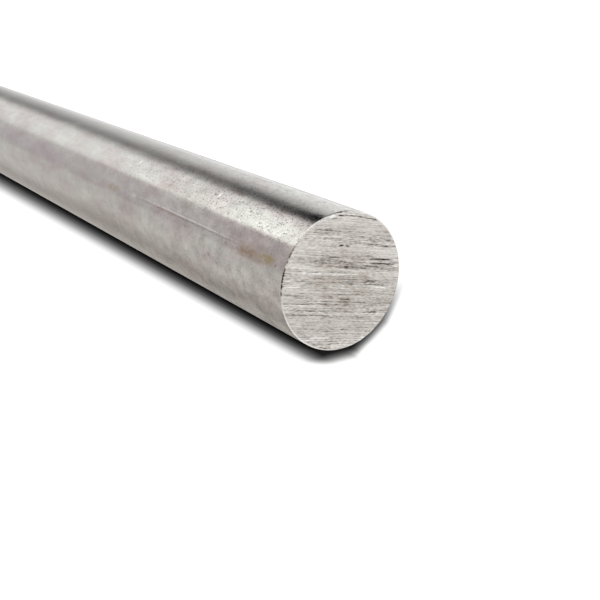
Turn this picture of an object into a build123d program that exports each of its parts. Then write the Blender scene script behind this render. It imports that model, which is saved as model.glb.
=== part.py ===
"""Round metal bar: one solid length of cold-finished bar stock, lying on its side.

The bar is a plain round, sawn square at both ends, with the sharp sawn rims filed to a small bevel.
The frame has +Z up and +X along the bar, and its origin is on the floor under the bar's middle.
All sizes are in millimetres.
"""

import os

from build123d import *

# Driving dimensions
bar_diameter = 25.4  # 1 in round stock
bar_length = 304.8  # a 12 in cut length
edge_break = 0.3  # leg of the 45 degree bevel filed on each sawn rim

# The bar rests on the floor, so its axis is one radius up
bar_radius = bar_diameter / 2
bar_axis = Plane(origin=(0, 0, bar_radius), x_dir=(0, 1, 0), z_dir=(1, 0, 0))


# The round section is carried half the length each way from the middle, and both sawn rims are then bevelled
with BuildPart() as round_bar:
    with BuildSketch(bar_axis) as section:
        Circle(bar_radius)
    extrude(amount=bar_length / 2, both=True)
    sawn_faces = round_bar.faces().filter_by(Axis.X)
    chamfer(sawn_faces.edges().filter_by(GeomType.CIRCLE), edge_break)

round_bar.part.label = "round_bar"

os.makedirs("parts", exist_ok=True)
export_step(round_bar.part, "parts/round_bar.step")
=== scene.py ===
import bpy
import numpy as np
from mathutils import Matrix, Vector


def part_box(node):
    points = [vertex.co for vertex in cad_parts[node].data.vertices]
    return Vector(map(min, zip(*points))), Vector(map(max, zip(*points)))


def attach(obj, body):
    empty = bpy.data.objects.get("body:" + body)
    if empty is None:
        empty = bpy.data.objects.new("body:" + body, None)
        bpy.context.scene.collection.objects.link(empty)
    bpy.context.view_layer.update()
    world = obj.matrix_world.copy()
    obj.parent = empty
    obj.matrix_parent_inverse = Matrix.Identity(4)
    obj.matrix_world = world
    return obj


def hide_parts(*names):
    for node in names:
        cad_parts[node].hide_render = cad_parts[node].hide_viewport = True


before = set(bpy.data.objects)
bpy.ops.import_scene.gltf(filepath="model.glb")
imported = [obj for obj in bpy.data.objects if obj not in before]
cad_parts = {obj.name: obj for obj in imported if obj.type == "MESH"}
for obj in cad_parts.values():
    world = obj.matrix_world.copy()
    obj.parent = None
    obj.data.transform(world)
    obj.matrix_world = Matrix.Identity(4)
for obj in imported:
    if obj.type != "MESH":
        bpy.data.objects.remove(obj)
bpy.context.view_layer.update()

# The bar's round side
# One length of stainless steel round, drawn and then ground between wheels to 1 in across, so the side is
# smooth and dull bright, and the straightening rolls have left it very slightly uneven.
mm = 0.001
bar_low, bar_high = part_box("round_bar")
bar_radius = (bar_high.y - bar_low.y) / 2
bar_half_length = bar_high.x
under_size = 0.03 * mm  # ground this much below the nominal radius
roll_mark = 0.010 * mm  # depth of the waves that the straightening rolls leave
roll_pitch = 31 * mm
roll_swell = 5.3 * roll_pitch  # length over which the waves swell and fade
swell_start = 1.7  # how far along that the bar's middle is, in radians
side_columns = 400
side_rows = 80
rim_guard = 0.12 * mm  # a row this close to each rim keeps the rim's shading off the side
lattice_size = 256


def lattice_noise(seed, across, along):
    """Random heights from -1 to 1 on a lattice one unit apart, joined smoothly: the value at (across, along)
    is the four nearest heights weighed by 3t^2 - 2t^3 of the distance in each direction."""
    heights = np.random.default_rng(seed).uniform(-1, 1, (lattice_size + 1, lattice_size + 1))
    row, column = np.floor(across).astype(int), np.floor(along).astype(int)
    s, t = across - row, along - column
    s, t = s * s * (3 - 2 * s), t * t * (3 - 2 * t)
    row, column = row % lattice_size, column % lattice_size
    near = heights[row, column] * (1 - t) + heights[row, column + 1] * t
    far = heights[row + 1, column] * (1 - t) + heights[row + 1, column + 1] * t
    return near * (1 - s) + far * s


def side_radius(x, angle):
    """The ground radius less the roll waves, which run round the bar as a one-start screw of pitch
    roll_pitch and swell and fade along it: radius = ground - depth (1 + sin(screw) sin(swell)) / 2."""
    screw = np.sin(2 * np.pi * x / roll_pitch + angle)
    swell = np.sin(2 * np.pi * x / roll_swell + swell_start)
    return bar_radius - under_size - roll_mark * (1 + screw * swell) / 2


def round_points(x, angle, radius):
    """Points at x along the bar, at that radius from its axis and that angle from straight down towards +Y."""
    x, angle, radius = np.broadcast_arrays(x, angle, radius)
    return np.stack([x, radius * np.sin(angle), bar_radius - radius * np.cos(angle)], axis=-1)


def linear(hex_colour):
    """sRGB hex to linear RGB with alpha 1: c / 12.92 below 0.04045, else ((c + 0.055) / 1.055) ^ 2.4."""
    c = np.array([int(hex_colour[i : i + 2], 16) for i in (1, 3, 5)]) / 255
    return (*np.where(c <= 0.04045, c / 12.92, ((c + 0.055) / 1.055) ** 2.4).tolist(), 1.0)


def add(tree, kind, sockets=(), stops=(), **settings):
    """Adds one node. settings are its properties, and stops fill its colour ramp with hex colours. sockets
    fills its inputs, a list from the first one on and a dictionary by their identifiers, each with a value,
    with another node's first output in use, or with (node, output name)."""
    made = tree.nodes.new(kind)
    for name, value in settings.items():
        setattr(made, name, value)
    if stops:
        ramp = made.color_ramp
        while len(ramp.elements) < len(stops):
            ramp.elements.new(1)
        for element, (place, colour) in zip(ramp.elements, stops):
            element.position, element.color = place, linear(colour)
    inputs = {socket.identifier: socket for socket in made.inputs}
    named = sockets if isinstance(sockets, dict) else dict(zip(inputs, sockets))
    for name, value in named.items():
        if isinstance(value, bpy.types.Node):
            tree.links.new(next(o for o in value.outputs if o.enabled), inputs[name])
        elif isinstance(value, tuple) and isinstance(value[0], bpy.types.Node):
            tree.links.new(value[0].outputs[value[1]], inputs[name])
        else:
            inputs[name].default_value = value
    return made


def new_material(name):
    """An empty node material and its tree."""
    material = bpy.data.materials.new(name)
    material.use_nodes = True
    material.node_tree.nodes.clear()
    return material, material.node_tree


def grains(tree, place, along, across, turn=0.0, detail=2.0, roughness=0.5):
    """A pattern of grains that are that many mm along X and, across it, across[0] by across[1] mm after a
    turn about X."""
    sized = add(tree, "ShaderNodeMapping", {
        "Vector": (place, "Object"),
        "Location": (0, 0, bar_radius),
        "Rotation": (turn, 0, 0),
        "Scale": (along * mm, across[0] * mm, across[1] * mm),
    }, vector_type="TEXTURE")
    return add(tree, "ShaderNodeTexNoise", {
        "Vector": sized, "Scale": 1.0, "Detail": detail, "Roughness": roughness})


# What handling left on the side, and one painted shade: mm from the +X end, degrees round from the top towards
# -Y, slant, length and width in mm, colour, and how strongly it covers the steel. First come broad dull
# patches, then a long scratch with its dark side, stains, short scratches, nicks, and a painted shade by the
# burr at the sawn edge
side_marks = [
    (38.0, 43.5, 0.0, 14.0, 8.00, "#A39D98", 0.40),
    (38.0, 61.0, 0.0, 13.0, 6.00, "#A09792", 0.35),
    (39.0, 106.0, 0.0, 14.0, 8.00, "#A09894", 0.35),
    (74.0, 106.0, 0.0, 46.0, 9.00, "#A59D98", 0.45),
    (36.0, 66.1, 0.0, 52.0, 0.42, "#E9E5E2", 0.80),
    (35.0, 67.9, 0.0, 54.0, 0.55, "#9A8F8B", 0.60),
    (48.0, 68.6, 0.0, 20.0, 0.80, "#B39690", 0.45),
    (11.0, 69.6, 3.0, 17.0, 4.20, "#B7AB9E", 0.75),
    (12.6, 70.4, 3.0, 8.0, 2.40, "#A08873", 0.75),
    (5.8, 68.6, 3.0, 7.0, 2.40, "#A69B72", 0.75),
    (30.3, 35.0, 70.0, 1.9, 0.80, "#F2F1EE", 0.70),
    (29.7, 34.0, 70.0, 1.5, 0.60, "#7F7B77", 0.60),
    (66.4, 33.6, 75.0, 2.6, 1.20, "#F0F0EC", 0.60),
    (60.4, 67.2, 0.0, 2.8, 1.20, "#E9E6E3", 0.60),
    (71.0, 68.8, 5.0, 8.0, 2.00, "#B3A483", 0.60),
    (7.3, -3.7, 20.0, 1.9, 0.60, "#6F6B67", 0.90),
    (8.1, 43.9, 30.0, 0.9, 0.60, "#6E6A66", 0.80),
    (20.1, 71.0, 60.0, 1.3, 0.90, "#96847F", 0.60),
    (3.0, 70.8, 0.0, 0.9, 0.70, "#8A7A6E", 0.80),
    # A painted shade by the burr at the sawn edge
    (1.0, 20.5, 0.0, 6.5, 3.00, "#0E0D0C", 0.95),
]
mark_height = 1.0 * mm  # a mark fades this far off its flat, as the round side falls away
full_mark = 0.5  # share of the way from a mark's edge to its middle where it covers in full


def mark(tree, place, from_end, angle, slant, length, width):
    """1 in the middle of an oval on the side, 0 at its edge: from_end mm from the +X end, angle degrees
    round from the top towards -Y, and turned by slant degrees on the surface."""
    a = np.radians(angle)
    turned = Matrix.Rotation(a, 3, "X") @ Matrix.Rotation(np.radians(slant), 3, "Z")
    middle = (bar_half_length - from_end * mm, -bar_radius * np.sin(a), bar_radius * (1 + np.cos(a)))
    oval = add(tree, "ShaderNodeMapping", {
        "Vector": (place, "Object"),
        "Location": middle,
        "Rotation": turned.to_euler(),
        "Scale": (length * mm / 2, width * mm / 2, mark_height),
    }, vector_type="TEXTURE")
    return add(tree, "ShaderNodeTexGradient", [oval], gradient_type="SPHERICAL")


# Centreless-ground stainless steel: a light grey metal whose fine grinding lines run round the bar. It looks
# satin and mirrors the room in soft bands. Handling has left it mottled, with specks that thicken towards the
# cut end. The specks' colour is strongest at the heights where the dark band and the bright strip are mirrored,
# so there it is partly painted glints and painted shade in pits. Grains are in mm along the bar and across it.
ground_tones = [(0.30, "#B6ADAA"), (0.45, "#BFB9B6"), (0.57, "#C2C0BB"), (0.70, "#CBCAC5")]
ground_roughness = (0.13, 0.18)
cloud_grain = (12.0, (3.2, 3.2))
mottle_grain = (3.2, (2.0, 2.2))
speck_grain = (0.50, (0.40, 0.40))
ragged_grain = (1.1, (0.5, 0.5))  # raggedness of the marks' edges
line_grain = (0.6, (3.0, 3.0))  # coarser than the real grinding lines, which are too fine to show
line_depth, mottle_depth, speck_depth = 0.0015 * mm, 0.004 * mm, 0.005 * mm
line_contrast, mottle_contrast, pale_speck, dark_speck = 0.03, 0.27, 0.30, -0.7
noise_range, noise_core = (0.2, 0.8), (0.3, 0.7)  # nearly all of a noise's values, and most of them
pale_range, dark_range, ragged_range = (0.58, 0.68), (0.35, 0.42), (0.35, 0.60)
ragged_least = 0.15
handled_from, handled_to = bar_half_length - 90 * mm, bar_half_length - 15 * mm  # handling grows between these
handled_least = 0.15
# the specks' pale and dark colour, partly painted glints and pit shade, is strongest between these heights
specked_from, specked_to = 1.56 * bar_radius, 1.71 * bar_radius  # and specks between these heights
specked_least = 0.3
crown_from, crown_to = 1.92 * bar_radius, 1.98 * bar_radius  # but the bar's crown is wiped cleaner
crown_handled = 0.4
dirty_share, clean_share, dirty_gleam = 0.75, 1.05, 0.75  # dark dirt dulls the gleam at glancing angles


def ground_steel():
    """Colour = cloudy tone * (1 + line contrast + handling * (specks + mottling)), under the side's marks."""
    material, tree = new_material("centreless_ground_stainless_steel")
    place = add(tree, "ShaderNodeTexCoord")
    spot = add(tree, "ShaderNodeSeparateXYZ", [(place, "Object")])
    near_end = add(tree, "ShaderNodeMapRange", [(spot, "X"), handled_from, handled_to, handled_least, 1.0])
    flank = add(tree, "ShaderNodeMapRange", [(spot, "Z"), specked_from, specked_to, specked_least, 1.0])
    crown = add(tree, "ShaderNodeMapRange", [(spot, "Z"), crown_from, crown_to, 1.0, crown_handled])
    handling = add(tree, "ShaderNodeMath", [near_end, crown], operation="MULTIPLY")

    clouds = grains(tree, place, *cloud_grain, detail=3.0, roughness=0.55)
    mottle = grains(tree, place, *mottle_grain, detail=3.0, roughness=0.6)
    specks = grains(tree, place, *speck_grain, detail=3.0, roughness=0.6)
    feed_lines = grains(tree, place, *line_grain)
    pale = add(tree, "ShaderNodeMapRange", [specks, *pale_range, 0.0, pale_speck])
    dark = add(tree, "ShaderNodeMapRange", [specks, *dark_range, dark_speck, 0.0])
    specked = add(tree, "ShaderNodeMath", [pale, dark], operation="ADD")
    mottled = add(tree, "ShaderNodeMapRange", [mottle, *noise_range, -mottle_contrast, mottle_contrast])
    handled = add(tree, "ShaderNodeMath", [specked, flank, mottled], operation="MULTIPLY_ADD")
    lined = add(tree, "ShaderNodeMapRange", [feed_lines, *noise_range, 1 - line_contrast, 1 + line_contrast])
    share = add(tree, "ShaderNodeMath", [handled, handling, lined], operation="MULTIPLY_ADD")
    tone = add(tree, "ShaderNodeValToRGB", [clouds], stops=ground_tones)
    colour = add(tree, "ShaderNodeVectorMath", {"Vector": tone, "Scale": share}, operation="SCALE")

    edge_grains = grains(tree, place, *ragged_grain)
    ragged = add(tree, "ShaderNodeMapRange", [edge_grains, *ragged_range, ragged_least, 1.0])
    for from_end, angle, slant, length, width, mark_colour, cover in side_marks:
        oval = mark(tree, place, from_end, angle, slant, length, width)
        torn = add(tree, "ShaderNodeMath", [oval, ragged], operation="MULTIPLY")
        colour = add(tree, "ShaderNodeMix", {
            "Factor_Float": add(tree, "ShaderNodeMapRange", [torn, 0.0, full_mark, 0.0, cover]),
            "A_Color": colour,
            "B_Color": linear(mark_colour),
        }, data_type="RGBA")

    lines = add(tree, "ShaderNodeBump", {"Height": feed_lines, "Strength": 1.0, "Distance": line_depth})
    mottling = add(tree, "ShaderNodeBump", {
        "Height": mottle, "Strength": 1.0, "Distance": mottle_depth, "Normal": lines})
    pitting = add(tree, "ShaderNodeBump", {
        "Height": specks, "Strength": 1.0, "Distance": speck_depth, "Normal": mottling})
    darkening = add(tree, "ShaderNodeMapRange", [share, dirty_share, clean_share, dirty_gleam, 1.0])
    shader = add(tree, "ShaderNodeBsdfPrincipled", {
        "Base Color": colour,
        "Roughness": add(tree, "ShaderNodeMapRange", [clouds, *noise_core, *ground_roughness]),
        "Normal": pitting,
        "Metallic": 1.0,
        "Specular Tint": darkening,
    })
    add(tree, "ShaderNodeOutputMaterial", [shader])
    return material


# The bar's sawn ends
# Both ends come straight from a band saw. Its teeth leave fine parallel lines, deeper torn marks, and on the
# end at +X a thin lip where the cut broke through at the top. The sharp rims are filed round.
edge_break = 0.3 * mm  # radius of the filed rims
rim_steps = 3
face_rows = 400
face_columns = 72
face_radius = bar_radius - under_size - edge_break
near_turn = 13  # turn of the +X end's saw lines, in side columns of 0.9 degrees
far_turn = -33
tooth_pitch, tooth_line, tooth_depth = 0.62 * mm, 9 * mm, 0.022 * mm  # a line changes over tooth_line
fine_pitch, fine_line = 0.2 * mm, 4 * mm
drift_pitch, drift_line = 3.1 * mm, 30 * mm  # the blade's slow wander
drift_share, fine_share = 0.5, 0.4  # how deep those are beside tooth_depth
tear_width, tear_depth = 0.12 * mm, 0.05 * mm
# painted shade in a tear's hollow and painted highlight on a raised burr, both per unit of tear
tear_light_and_shade = 0.5
small_tears = 120
small_tear_lengths = (0.5, 3.0)  # in mm
small_tear_force = 0.4
rim_shine, middle_shade = 0.05, 0.02  # the steel is a little brighter towards the rim
lip_height = 0.95 * mm
lip_slope = 0.06  # the lip is this much higher per mm along the saw lines
lip_step = 0.10 * mm
lip_edge = 0.04 * mm  # how sharp its step is
lip_ragged, lip_grain = 0.07 * mm, 0.6 * mm
# painted shadow of the lip's step: a dark line along its foot
lip_foot, lip_foot_painted_shadow = 0.12 * mm, 0.65  # the dark line at its foot, broken up every few mm
foot_wave, foot_grain = 2.6 * mm, 1.1 * mm

# How the cut changed as the blade went through the +X end, in mm across the saw lines: how bright the steel is
# there, and how strongly its lines are torn
near_cut = [
    (-12.0, 0.52, 1.2),
    (-10.0, 0.49, 1.0),
    (-8.0, 0.48, 0.7),
    (-5.7, 0.48, 1.2),
    (-3.4, 0.47, 0.9),
    (-1.9, 0.54, 0.9),
    (-0.6, 0.45, 1.0),
    (0.6, 0.46, 1.0),
    (1.9, 0.57, 0.9),
    (3.6, 0.44, 0.9),
    (5.7, 0.58, 0.75),
    (7.2, 0.43, 1.1),
    (8.5, 0.43, 0.9),
    (10.0, 0.51, 0.5),
    (12.0, 0.58, 1.0),
]
far_cut = [
    (-12.0, 0.52, 0.8),
    (-6.0, 0.56, 0.6),
    (-1.0, 0.49, 1.3),
    (4.0, 0.54, 0.7),
    (8.0, 0.50, 1.1),
    (12.0, 0.56, 0.6),
]

# The largest torn marks on the +X end in mm: middle along the saw lines, height across them, length, and how
# deep it is and how dark its painted shade, or how raised and how bright its painted highlight where that is
# below 0
near_tears = [
    (7.9, 4.3, 5.2, 1.5),
    (8.2, 3.5, 6.2, 1.2),
    (5.4, 2.95, 4.0, 0.6),
    (11.2, 3.2, 1.5, -1.1),
    (8.5, -0.8, 3.0, -1.0),
    (6.1, 0.2, 3.0, 0.8),
    (-10.6, -1.25, 3.2, -0.9),
    (-11.2, -0.26, 2.0, -0.8),
    (1.9, -3.25, 4.0, 0.7),
    (-1.6, 6.4, 1.1, 1.4),
    (-0.3, 6.4, 0.9, 1.1),
    (-6.5, 2.45, 2.2, 0.6),
    (-0.9, 2.5, 3.6, 0.6),
    (-3.0, 4.25, 4.0, 0.6),
    (4.0, 4.75, 4.4, 0.6),
    (4.1, 2.6, 2.2, 0.6),
    (-2.6, -10.3, 4.0, -0.8),
    (-6.0, 1.2, 2.6, -0.7),
    (-5.3, 8.9, 4.9, 0.25),
    (8.5, 6.6, 1.6, 0.6),
    (7.5, -5.6, 3.0, 0.5),
    (-4.6, 11.45, 1.3, -1.6),
    (-4.0, 11.75, 1.5, -1.4),
    (-4.9, 11.15, 0.8, -1.2),
    (-3.0, 11.6, 1.0, 0.4),
    (-4.2, 11.0, 1.6, 0.6),
]


def sawn_surface(seed, u, v, cut, tears, lip):
    """Depth behind the end plane, shade and tearing, u along the saw lines and v across them. Depth is coarse
    lines half a tooth pitch wide and finer ones between, on a slow wander of the blade, with bell-shaped
    tears, and a step back by lip_step everywhere but on the lip. Shade is the cut's own at v, with painted
    shade in a tear's hollow and a painted highlight on a raised burr, a painted shadow at the lip's foot, and
    brighter towards the rim."""
    wander = 0.5 + 0.5 * lattice_noise(seed, v / drift_pitch, u / drift_line)
    coarse = 0.5 + 0.5 * lattice_noise(seed + 1, v / (0.5 * tooth_pitch), u / tooth_line)
    fine = 0.5 + 0.5 * lattice_noise(seed + 2, v / fine_pitch, u / fine_line)
    depth = tooth_depth * (drift_share * wander + coarse + fine_share * fine)
    heights, tones, tearing = np.array(cut).T
    torn = np.interp(v / mm, heights, tearing)
    shade = np.interp(v / mm, heights, tones) + rim_shine * (np.hypot(u, v) / bar_radius) ** 2 - middle_shade

    chance = np.random.default_rng(seed + 3)
    reach = bar_radius / mm * np.sqrt(chance.uniform(0, 1, small_tears))
    turn = chance.uniform(0, 2 * np.pi, small_tears)
    lengths = chance.uniform(*small_tear_lengths, small_tears)
    forces = chance.uniform(-small_tear_force, small_tear_force, small_tears)
    small = np.stack([reach * np.cos(turn), reach * np.sin(turn), lengths, forces], axis=-1)
    for along, across, length, force in [*tears, *small.tolist()]:
        taper = np.clip(1 - (2 * (u - along * mm) / (length * mm)) ** 2, 0, 1)
        tear = force * np.sqrt(taper) * np.exp(-(((v - across * mm) / tear_width) ** 2))
        depth = depth + tear_depth * tear
        # painted shade in the hollow of a tear, painted highlight on a raised one
        shade = shade - tear_light_and_shade * tear

    ragged = bar_radius - lip_height - lip_slope * np.clip(u, 0, None)
    ragged = ragged + lip_ragged * lattice_noise(seed + 4, 0 * v, u / lip_grain)
    depth = np.clip(depth, 0, None) + lip * lip_step / (1 + np.exp((v - ragged) / lip_edge))
    # painted shadow along the foot of the lip's step
    foot = np.exp(-(((v - ragged + lip_ragged) / lip_foot) ** 2))
    patchy = 0.8 + 0.25 * np.sin(u / foot_wave - 0.6) + 0.2 * lattice_noise(seed + 5, 0 * v, u / foot_grain)
    return depth, shade - lip_foot_painted_shadow * lip * foot * np.clip(patchy, 0.25, 1), torn


def sawn_end(seed, side, turn, cut, tears, lip):
    """Points, depths, shades and tearing of one sawn end on chords along its saw lines: row j lies at
    v = r sin(a_j), with a_j even from -90 to 90 degrees, and its points at u = r cos(a_j) sin(b_i), b_i even
    too, so that they crowd towards the rim. The first and last points are the poles, where the chords shrink
    to nothing."""
    a = np.linspace(-np.pi / 2, np.pi / 2, face_rows + 1)[1:-1, None]
    b = np.linspace(-np.pi / 2, np.pi / 2, face_columns + 1)[None, :]
    u = np.concatenate([[0], (face_radius * np.cos(a) * np.sin(b)).ravel(), [0]])
    v = np.concatenate([[-face_radius], (face_radius * np.sin(a) + 0 * b).ravel(), [face_radius]])
    depth, shade, torn = sawn_surface(seed, u, v, cut, tears, lip)
    tilt = turn * 2 * np.pi / side_columns
    y = u * np.cos(tilt) + v * np.sin(tilt)
    z = v * np.cos(tilt) - u * np.sin(tilt)
    return np.stack([side * (bar_half_length - depth), y, bar_radius + z], axis=-1), depth, shade, torn


def sawn_end_faces():
    """Squares between neighbouring chords, fans at both poles, and the ring of rim points from the lower
    pole counterclockwise, all as indices into sawn_end's points."""
    grid = 1 + np.arange((face_rows - 1) * (face_columns + 1)).reshape(face_rows - 1, face_columns + 1)
    corners = [grid[:-1, :-1], grid[:-1, 1:], grid[1:, 1:], grid[1:, :-1]]
    squares = np.stack(corners, axis=-1).reshape(-1, 4)
    top = grid.size + 1
    low_fan = np.stack([0 * grid[0, 1:], grid[0, 1:], grid[0, :-1]], axis=-1)
    high_fan = np.stack([0 * grid[-1, 1:] + top, grid[-1, :-1], grid[-1, 1:]], axis=-1)
    ring = np.concatenate([[0], grid[:, -1], [top], grid[::-1, 0]])
    return squares, np.concatenate([low_fan, high_fan]), ring


# Where the filed rims are darker: degrees from the top towards -Y, how far it spreads either way, and
# how much. The rows at -70 and -128, on the +Y side, are painted shade on the side of the rim that faces the
# dim room; the others make a patchy dark line along the rim. The file leaves steel of shade filed_shade, and
# its edge is uneven every few degrees
rim_darkening = [
    (60, 22, 0.8),
    (87, 14, 0.6),
    (1, 9, 0.7),
    (-70, 40, 0.30),
    (-128, 26, 0.75),
]
rim_grains = 128
uneven_edge = 0.15
filed_shade = 0.85
rim_tearing = 0.5


def filed_rim(side, turn, depth, ring, seed):
    """Points and shades of the filed rim's rings from the side to the sawn face: at t from 0 to 90 degrees
    the radius is face_radius + e cos(t), and x goes from the side's ragged edge to the sawn face as sin(t).
    The shade is filed_shade less the darkening, which is the sum of rim_darkening's bells, patchy, and fades
    with a low power of cos(t); on the rim's +Y side it is painted shade."""
    boundary = np.roll(ring, -2 * turn)[::2]
    angle = np.arange(side_columns) * 2 * np.pi / side_columns
    patchy = lattice_noise(seed, 0 * angle, angle * rim_grains / (2 * np.pi))
    edge, face = edge_break * (1 - uneven_edge + uneven_edge * patchy), depth[boundary]
    t = np.linspace(0, np.pi / 2, rim_steps + 1)[:-1, None]
    inset = face + (edge - face) * (1 - np.sin(t))
    radius = face_radius + edge_break * np.cos(t)
    from_top = np.degrees(angle) - 180
    bells = [share * np.exp(-(((from_top - middle) / width) ** 2)) for middle, width, share in rim_darkening]
    # patchy darkening of the rim, on its +Y side painted shade
    darkening = sum(bells) * np.clip(0.9 + 0.5 * patchy, 0, 1) * np.cos(t) ** 0.2
    return round_points(side * (bar_half_length - inset), angle[None, :], radius), filed_shade - darkening


# Band-sawn stainless steel: the same metal torn by the saw's teeth, rougher than the ground side. Thin
# straight lines run from burnished to nearly black where chips tore out, brighter where their bump rises and
# darker where it falls, so partly painted light and shade, with brownish specks of dried coolant in the middle.
saw_lines = [(16.0, 0.20, 0.24), (3.5, 0.21, 0.18), (0.8, 0.20, 0.25)]  # long and wide in mm, and contrast
saw_line_depth = 0.02 * mm
sawn_tones = [
    (0.0, "#332C28"), (0.15, "#77706A"), (0.30, "#ADA7A1"), (0.50, "#CEC9C3"), (0.70, "#DEDAD5"),
    (0.85, "#EFEDEA"), (1.0, "#FFFFFF"),
]
torn_shade, burnished_shade = 0.2, 0.8
sawn_roughness = (0.48, 0.34)  # dark torn steel is rougher than burnished steel
through = 10.0  # mm along the bar, so that the patterns hardly change with the marks' depth
sawn_patch = (5.0, 2.2)  # in mm along and across the saw lines
patch_contrast = 0.06
coolant_patch = (3.6, 0.9)
coolant_reach = (10 * mm, 8.5 * mm)
coolant_range, coolant_most = (0.42, 0.62), 0.62  # where in its noise it dried, and how strongly it covers
coolant_edge = (0.1, 0.5)  # shares of coolant_reach, inwards from its edge, over which it thickens
coolant_brown = "#D2C9C0"


def sawn_steel(name, turn):
    """Tone = the mesh's shade + patches + tearing * (lines of three lengths), browner where coolant dried."""
    material, tree = new_material(name)
    place = add(tree, "ShaderNodeTexCoord")
    angle = -turn * 2 * np.pi / side_columns
    lines = 0.0
    for long, wide, contrast in saw_lines:
        wave = grains(tree, place, through, (long, wide), angle, detail=1.0)
        swing = add(tree, "ShaderNodeMapRange", [wave, *noise_range, -contrast, contrast])
        lines = add(tree, "ShaderNodeMath", [swing, lines], operation="ADD")
    patches = grains(tree, place, through, sawn_patch, angle)
    patched = add(tree, "ShaderNodeMapRange", [patches, *noise_core, -patch_contrast, patch_contrast])
    surface = add(tree, "ShaderNodeAttribute", attribute_name="shade")
    tearing = add(tree, "ShaderNodeAttribute", attribute_name="torn")
    level = add(tree, "ShaderNodeMath", [patched, (surface, "Fac")], operation="ADD")
    # the lines' tone follows their bump: painted light on the ridges and painted shade in the grooves
    shade = add(tree, "ShaderNodeMath", [lines, (tearing, "Fac"), level], operation="MULTIPLY_ADD")
    colour = add(tree, "ShaderNodeValToRGB", [shade], stops=sawn_tones)

    middle = add(tree, "ShaderNodeMapping", {
        "Vector": (place, "Object"),
        "Location": (0, 0, bar_radius),
        "Rotation": (angle, 0, 0),
        "Scale": (1.0, *coolant_reach),
    }, vector_type="TEXTURE")
    centred = add(tree, "ShaderNodeTexGradient", [middle], gradient_type="SPHERICAL")
    clouds = grains(tree, place, through, coolant_patch, angle, detail=3.0, roughness=0.6)
    dried = add(tree, "ShaderNodeMath", [
        add(tree, "ShaderNodeMapRange", [clouds, *coolant_range, 0.0, coolant_most]),
        add(tree, "ShaderNodeMapRange", [centred, *coolant_edge, 0.0, 1.0]),
    ], operation="MULTIPLY")
    stained = add(tree, "ShaderNodeMix", {
        "Factor_Float": dried, "A_Color": colour, "B_Color": linear(coolant_brown),
    }, data_type="RGBA", blend_type="MULTIPLY")

    bump = add(tree, "ShaderNodeBump", {"Height": lines, "Strength": 1.0, "Distance": saw_line_depth})
    shader = add(tree, "ShaderNodeBsdfPrincipled", {
        "Base Color": stained,
        "Roughness": add(tree, "ShaderNodeMapRange", [shade, torn_shade, burnished_shade, *sawn_roughness]),
        "Normal": bump,
        "Metallic": 1.0,
    })
    add(tree, "ShaderNodeOutputMaterial", [shader])
    return material


# The whole bar
# It is one solid piece, so the side, both filed rims and both sawn ends are joined into one closed skin, and
# each kind of surface gets its own steel.
near_seed, near_rim_seed = 11, 5
far_seed, far_rim_seed = 47, 6
torn_rim = 0.95  # share of the edge break, from the face outwards, that has the sawn steel


def build_bar():
    """Joins the rows of the side, both filed rims and both sawn ends into one closed mesh with its faces
    outwards, and keeps the sawn surfaces' shade and tearing in attributes of its points."""
    squares, fans, ring = sawn_end_faces()
    angle = np.arange(side_columns) * 2 * np.pi / side_columns
    reach = bar_half_length - edge_break - rim_guard
    x = np.linspace(-reach, reach, side_rows)
    side = round_points(x[:, None], angle[None, :], side_radius(x[:, None], angle[None, :]))
    near_face, near_depth, near_shade, near_torn = sawn_end(near_seed, 1, near_turn, near_cut, near_tears, 1)
    far_face, far_depth, far_shade, far_torn = sawn_end(far_seed, -1, far_turn, far_cut, [], 0)
    near_rim, near_rim_shade = filed_rim(1, near_turn, near_depth, ring, near_rim_seed)
    far_rim, far_rim_shade = filed_rim(-1, far_turn, far_depth, ring, far_rim_seed)
    rows = np.concatenate([far_rim[::-1], side, near_rim])
    points = np.concatenate([rows.reshape(-1, 3), near_face, far_face])
    side_shade = np.zeros(side[..., 0].size)
    shades = np.concatenate([
        far_rim_shade[::-1].ravel(), side_shade, near_rim_shade.ravel(), near_shade, far_shade])
    tearing = np.concatenate([np.full(rows[..., 0].size, rim_tearing), near_torn, far_torn])
    near_start = rows.shape[0] * side_columns
    far_start = near_start + len(near_face)

    index = np.arange(near_start).reshape(rows.shape[0], side_columns)
    ahead = np.roll(index, -1, axis=1)
    skin = np.stack([index[:-1], ahead[:-1], ahead[1:], index[1:]], axis=-1).reshape(-1, 4)

    def seam(row, start, turn):
        """Three triangles from each side column to the two rim points of the sawn face that it spans."""
        inner = start + np.roll(ring, -2 * turn)
        first, middle, last = inner[::2], inner[1::2], np.roll(inner[::2], -1)
        here, there = index[row], ahead[row]
        return np.concatenate([
            np.stack([here, middle, first], axis=-1),
            np.stack([here, there, middle], axis=-1),
            np.stack([there, last, middle], axis=-1),
        ])

    quads = np.concatenate([skin, squares + near_start, squares[:, ::-1] + far_start])
    triangles = np.concatenate([
        fans + near_start,
        fans[:, ::-1] + far_start,
        seam(-1, near_start, near_turn),
        seam(0, far_start, far_turn)[:, ::-1],
    ])
    mesh = bpy.data.meshes.new("round_metal_bar")
    mesh.from_pydata(points, [], quads.tolist() + triangles.tolist())
    for name, values in (("shade", shades), ("torn", tearing)):
        mesh.attributes.new(name, "FLOAT", "POINT").data.foreach_set("value", values.astype(np.float32))
    mesh.validate()
    return mesh


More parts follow.
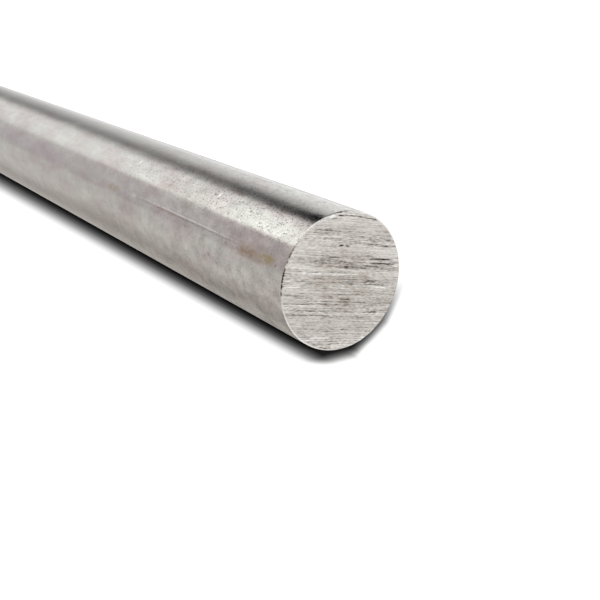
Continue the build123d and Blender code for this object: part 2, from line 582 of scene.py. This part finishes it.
bar_mesh = build_bar()
bar = bpy.data.objects.new("round_metal_bar", bar_mesh)
bpy.context.scene.collection.objects.link(bar)
bar_mesh.materials.append(ground_steel())
bar_mesh.materials.append(sawn_steel("band_sawn_stainless_steel", near_turn))
bar_mesh.materials.append(sawn_steel("band_sawn_stainless_steel_far", far_turn))
centres = np.empty(len(bar_mesh.polygons) * 3)
bar_mesh.polygons.foreach_get("center", centres)
from_axis = np.hypot(centres[1::3], centres[2::3] - bar_radius)
on_side = np.abs(centres[0::3]) < bar_half_length - edge_break
on_face = ~on_side & (from_axis < face_radius + torn_rim * edge_break)
slots = on_face * np.where(centres[0::3] > 0, 1, 2)
bar_mesh.polygons.foreach_set("material_index", slots.astype(np.int32))
bar_mesh.shade_smooth()
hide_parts("round_bar")
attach(bar, "root")

# The studio
# A white table top under the bar, lit by one soft lamp over the camera, with the bar's soft shade painted into
# its colour. The metal mirrors a painted glow of the table top with a painted shade of the bar on it.
floor_mesh = bpy.data.meshes.new("table_top")
floor_reach = 30.0
corners = floor_reach * np.array([(-1, -1, 0), (1, -1, 0), (1, 1, 0), (-1, 1, 0)])
floor_mesh.from_pydata(corners, [], [(0, 1, 2, 3)])
floor = bpy.data.objects.new("table_top", floor_mesh)
bpy.context.scene.collection.objects.link(floor)
white_paper, paper_tree = new_material("white_paper")
paper_rays = add(paper_tree, "ShaderNodeLightPath")
paper_place = add(paper_tree, "ShaderNodeTexCoord")
spot = add(paper_tree, "ShaderNodeSeparateXYZ", [(paper_place, "Object")])
third_near, half_near = bar_half_length - 100 * mm, bar_half_length - 150 * mm  # places along the bar

# The soft shade that clings to the bar is painted into the table's colour, a painted shadow that goes from dark
# to nothing over shade_reach. It begins end_margin past either end and, on the -Y side, side_margin from the
# line where the bar touches the table. There it widens from the +X end on, to far_width times as wide at the
# bar's middle. On the +Y side its +X end draws back in two straight runs.
shade_reach = 6 * mm
measured = 20 * mm  # how far out the shade's distances are worked out
end_margin, side_margin = 0.4 * mm, 4.4 * mm
far_width = 1.7
back_start, back_bend, back_end = 1.8 * mm, 15 * mm, 45 * mm
first_back, second_back = 8.8 * mm, 26 * mm
steep_from, steepness = 2 * mm, 1.55  # on the +Y side the shade ends this much faster
drawn_back = add(paper_tree, "ShaderNodeMath", [
    add(paper_tree, "ShaderNodeMapRange", [(spot, "Y"), back_start, back_bend, 0, first_back]),
    add(paper_tree, "ShaderNodeMapRange", [(spot, "Y"), back_bend, back_end, 0, second_back]),
], operation="ADD")
past_near = add(paper_tree, "ShaderNodeMath", [(spot, "X"), drawn_back], operation="ADD")
past_far = add(paper_tree, "ShaderNodeMath", [(spot, "X"), -1.0], operation="MULTIPLY")
past = add(paper_tree, "ShaderNodeMath", [past_near, past_far], operation="MAXIMUM")
shade_end = bar_half_length + end_margin
past_end = add(paper_tree, "ShaderNodeMath", [
    add(paper_tree, "ShaderNodeMapRange", [past, shade_end, shade_end + measured, 0, measured]),
    add(paper_tree, "ShaderNodeMapRange", [(spot, "Y"), 0, steep_from, 1.0, steepness]),
], operation="MULTIPLY")
before = add(paper_tree, "ShaderNodeMath", [
    add(paper_tree, "ShaderNodeMapRange", [(spot, "Y"), -side_margin - measured, -side_margin, measured, 0]),
    add(paper_tree, "ShaderNodeMapRange", [(spot, "X"), half_near, bar_half_length, far_width, 1.0]),
], operation="DIVIDE")

# On the +Y side it thins out from thin_from to thin_to, but sooner, from clear_from to clear_to, where it is
# well inside its drawn-back end
thin_from, thin_to = 6 * mm, 42 * mm
inside_from, inside_to = bar_half_length - 3 * mm, bar_half_length - 12 * mm
clear_from, clear_to = 5 * mm, 15 * mm
behind = add(paper_tree, "ShaderNodeMath", [
    add(paper_tree, "ShaderNodeMapRange", [past_near, inside_to, inside_from, shade_reach, 0]),
    add(paper_tree, "ShaderNodeMapRange", [(spot, "Y"), clear_from, clear_to, 0, 1]),
    add(paper_tree, "ShaderNodeMapRange", [(spot, "Y"), thin_from, thin_to, 0, shade_reach]),
], operation="MULTIPLY_ADD")
beside = add(paper_tree, "ShaderNodeMath", [before, behind], operation="ADD")
away = add(paper_tree, "ShaderNodeCombineXYZ", [past_end, beside])
gap = add(paper_tree, "ShaderNodeVectorMath", [away], operation="LENGTH")
shade_share = add(paper_tree, "ShaderNodeMapRange", [gap, 0, shade_reach, 0, 1])
# painted shadow of the bar in the table's colour
painted_contact_shadow = add(paper_tree, "ShaderNodeValToRGB", [shade_share], stops=[
    (0.0, "#1C1C1C"), (0.17, "#454545"), (0.33, "#6D6D6D"), (0.50, "#A7A7A7"), (0.67, "#DEDEDE"),
    (0.83, "#FDFDFD"), (1.0, "#FFFFFF")])
paper = add(paper_tree, "ShaderNodeBsdfDiffuse", [painted_contact_shadow])

# What the metal mirrors, a glow of the table that only the metal sees: painted shade of the bar on its -Y side,
# by how much of the sky each place there sees, and bright paper beyond the bar and before its +X end, where it
# is before_level times as bright, with a painted white band just before that end. It is bright only to a look
# that met nothing dull on its way, so it lights nothing else.
sky_reach = 0.25
sky_gain, sky_shift, far_sky = 1.2, 0.08, 0.24  # the shade is stronger near the +X end, weaker farther off
far_sky_end = bar_half_length - 25 * mm
paper_from, paper_to = bar_half_length - 2 * mm, bar_half_length + 28 * mm
before_from, before_to = bar_half_length - 0.5 * mm, bar_half_length + 1.5 * mm
beyond_to = 5 * mm
before_level = 1.3
open_sky = add(paper_tree, "ShaderNodeAmbientOcclusion", {"Distance": sky_reach})
seen_sky = add(paper_tree, "ShaderNodeMath", [
    (open_sky, "AO"),
    add(paper_tree, "ShaderNodeMapRange", [(spot, "X"), third_near, bar_half_length, 1.0, sky_gain]),
    add(paper_tree, "ShaderNodeMapRange", [(spot, "X"), half_near, bar_half_length, sky_shift, -sky_shift]),
], operation="MULTIPLY_ADD")
least_sky = add(paper_tree, "ShaderNodeMapRange", [(spot, "X"), third_near, far_sky_end, far_sky, 0.0])
sky = add(paper_tree, "ShaderNodeMath", [seen_sky, least_sky], operation="MAXIMUM")
shaded_paper = add(paper_tree, "ShaderNodeValToRGB", [sky], stops=[
    (0.0, "#8C8884"), (0.12, "#A8A39F"), (0.24, "#C4BFBA"), (0.55, "#BAB5B1"), (0.85, "#E8E5E2"),
    (1.0, "#E4E2E0")])
near_paper = add(paper_tree, "ShaderNodeMapRange", [(spot, "X"), paper_from, paper_to, 0, 1])
open_paper = add(paper_tree, "ShaderNodeValToRGB", [near_paper], stops=[
    (0.05, "#ECECEC"), (0.07, "#FFFFFF"), (0.11, "#FFFFFF"), (0.20, "#D2D2D2"), (0.40, "#D6D6D6"),
    (1.0, "#E3E3E3")])
before_end = add(paper_tree, "ShaderNodeMapRange", [(spot, "X"), before_from, before_to, 0, 1])
beyond = add(paper_tree, "ShaderNodeMapRange", [(spot, "Y"), 0, beyond_to, 0, 1])
unshaded = add(paper_tree, "ShaderNodeMath", [before_end, beyond], operation="MAXIMUM")
mirrored_paper = add(paper_tree, "ShaderNodeMix", {
    "Factor_Float": unshaded, "A_Color": shaded_paper, "B_Color": open_paper}, data_type="RGBA")
first_sight = add(
    paper_tree, "ShaderNodeMath", [1.0, (paper_rays, "Diffuse Depth")], operation="SUBTRACT", use_clamp=True)
brightness = add(paper_tree, "ShaderNodeMapRange", [before_end, 0, 1, 1.0, before_level])
sight = add(paper_tree, "ShaderNodeMath", [brightness, first_sight], operation="MULTIPLY")
# the table glows with this painted reflection and painted shade, for the metal only
painted_paper_glow = add(paper_tree, "ShaderNodeEmission", [mirrored_paper, sight])
in_metal = add(paper_tree, "ShaderNodeMath", [
    (paper_rays, "Is Glossy Ray"), (paper_rays, "Is Transmission Ray")], operation="MAXIMUM")
table = add(paper_tree, "ShaderNodeMixShader", [in_metal, paper, painted_paper_glow])
add(paper_tree, "ShaderNodeOutputMaterial", [table])
floor_mesh.materials.append(white_paper)


def towards(azimuth, elevation):
    """Unit vector towards a place seen at that azimuth, from -Y towards +X, and elevation, in degrees."""
    a, e = np.radians(azimuth), np.radians(elevation)
    return Vector((np.sin(a) * np.cos(e), -np.cos(a) * np.cos(e), np.sin(e)))


lamp_azimuth, lamp_elevation, lamp_spread = 64, 23, 20
lamp_level = 0.86  # brightness of a white sheet on the table, lit by this lamp alone
lamp_data = bpy.data.lights.new("soft_lamp", "SUN")
lamp_data.angle = np.radians(lamp_spread)
lamp_data.energy = lamp_level * np.pi / np.sin(np.radians(lamp_elevation))
lamp = bpy.data.objects.new("soft_lamp", lamp_data)
lamp.rotation_mode = "QUATERNION"
lamp.rotation_quaternion = towards(lamp_azimuth, lamp_elevation).to_track_quat("Z", "Y")
lamp.visible_glossy = False
bpy.context.scene.collection.objects.link(lamp)

# The room that the metal mirrors, by the angle round the bar from straight up, positive to the camera's side:
# a white far wall, a black flag, a long strip light overhead and a near wall in shade. The second row is how
# it looks low down towards the bar's far end, where the flag and the light end. Both are brighter than paper
# by room_level. Everything else gets ambient_level of plain white light from all round.
room_over_near_end = [
    (-90, "#D9DADA"), (-75, "#C5C6C6"), (-62, "#CFD1D0"), (-50, "#C0C1C0"), (-42, "#ABABAB"), (-35, "#939393"),
    (-29, "#5A5A5A"), (-24, "#060606"), (-14, "#000000"), (-10, "#707070"), (-6, "#BEBEBE"), (0, "#D4D4D4"),
    (8, "#E1E2E1"), (28, "#E7E9E6"), (33, "#F3F6F2"), (36, "#FCFFFB"), (39, "#FCFFFB"), (41, "#BEBBBB"),
    (43, "#A8A5A5"), (60, "#A9A6A6"), (90, "#A19E9E"),
]
room_over_far_end = [
    (-90, "#C3C3C3"), (-75, "#AAAAAA"), (-62, "#9C9C9C"), (-50, "#8E8E8E"), (-42, "#7F7F7F"), (-36, "#787878"),
    (-29, "#808080"), (-23, "#9A9A9A"), (-17, "#BBBBBB"), (-8, "#CACACA"), (0, "#CBCBCB"), (28, "#C9C9C9"),
    (36, "#BEBEBE"), (44, "#AAA7A8"), (60, "#A8A5A8"), (90, "#A19EA0"),
]
towards_near_end, towards_far_end = -0.80, -0.94  # how far along -X a look goes for the first and second row
room_level = 1.85
ambient_level = 0.30
world = bpy.data.worlds.new("studio")
bpy.context.scene.world = world
world.use_nodes = True
room = world.node_tree
room.nodes.clear()
direction = add(room, "ShaderNodeTexCoord")
parts = add(room, "ShaderNodeSeparateXYZ", [(direction, "Generated")])
sideways = add(room, "ShaderNodeMath", [(parts, "Y"), -1.0], operation="MULTIPLY")
round_bar = add(room, "ShaderNodeMath", [sideways, (parts, "Z")], operation="ARCTAN2")
turn_share = add(room, "ShaderNodeMapRange", [round_bar, -np.pi, np.pi, 0.0, 1.0])
near_bands, far_bands = [
    add(room, "ShaderNodeValToRGB", [turn_share], stops=[((angle + 180) / 360, tone) for angle, tone in bands])
    for bands in (room_over_near_end, room_over_far_end)
]
far_share = add(room, "ShaderNodeMapRange", [(parts, "X"), towards_near_end, towards_far_end, 0.0, 1.0])
bands = add(room, "ShaderNodeMix", {
    "Factor_Float": far_share, "A_Color": near_bands, "B_Color": far_bands}, data_type="RGBA")
room_rays = add(room, "ShaderNodeLightPath")
mirrored = add(room, "ShaderNodeBackground", [bands, room_level])
ambient = add(room, "ShaderNodeBackground", [linear("#FFFFFF"), ambient_level])
white = add(room, "ShaderNodeBackground", [linear("#FFFFFF"), 1.0])
lit = add(room, "ShaderNodeMixShader", [(room_rays, "Is Diffuse Ray"), mirrored, ambient])
seen = add(room, "ShaderNodeMixShader", [(room_rays, "Is Camera Ray"), lit, white])
add(room, "ShaderNodeOutputWorld", [seen])

# The camera
# It stands just off the bar's near end and looks back along it, a little down.
camera_azimuth, camera_elevation = 56.72, 19.30
camera_from_face = Vector((136.55, -98.55, 55.55)) * mm
camera_data = bpy.data.cameras.new("camera")
camera_data.sensor_width = 36.0
camera_data.lens = 60.94
camera_data.clip_start = 0.01
camera = bpy.data.objects.new("camera", camera_data)
camera.location = Vector((bar_half_length, 0, bar_radius)) + camera_from_face
camera.rotation_mode = "QUATERNION"
camera.rotation_quaternion = towards(camera_azimuth, camera_elevation).to_track_quat("Z", "Y")
bpy.context.scene.collection.objects.link(camera)
bpy.context.scene.camera = camera
bpy.context.scene.view_settings.view_transform = "Standard"
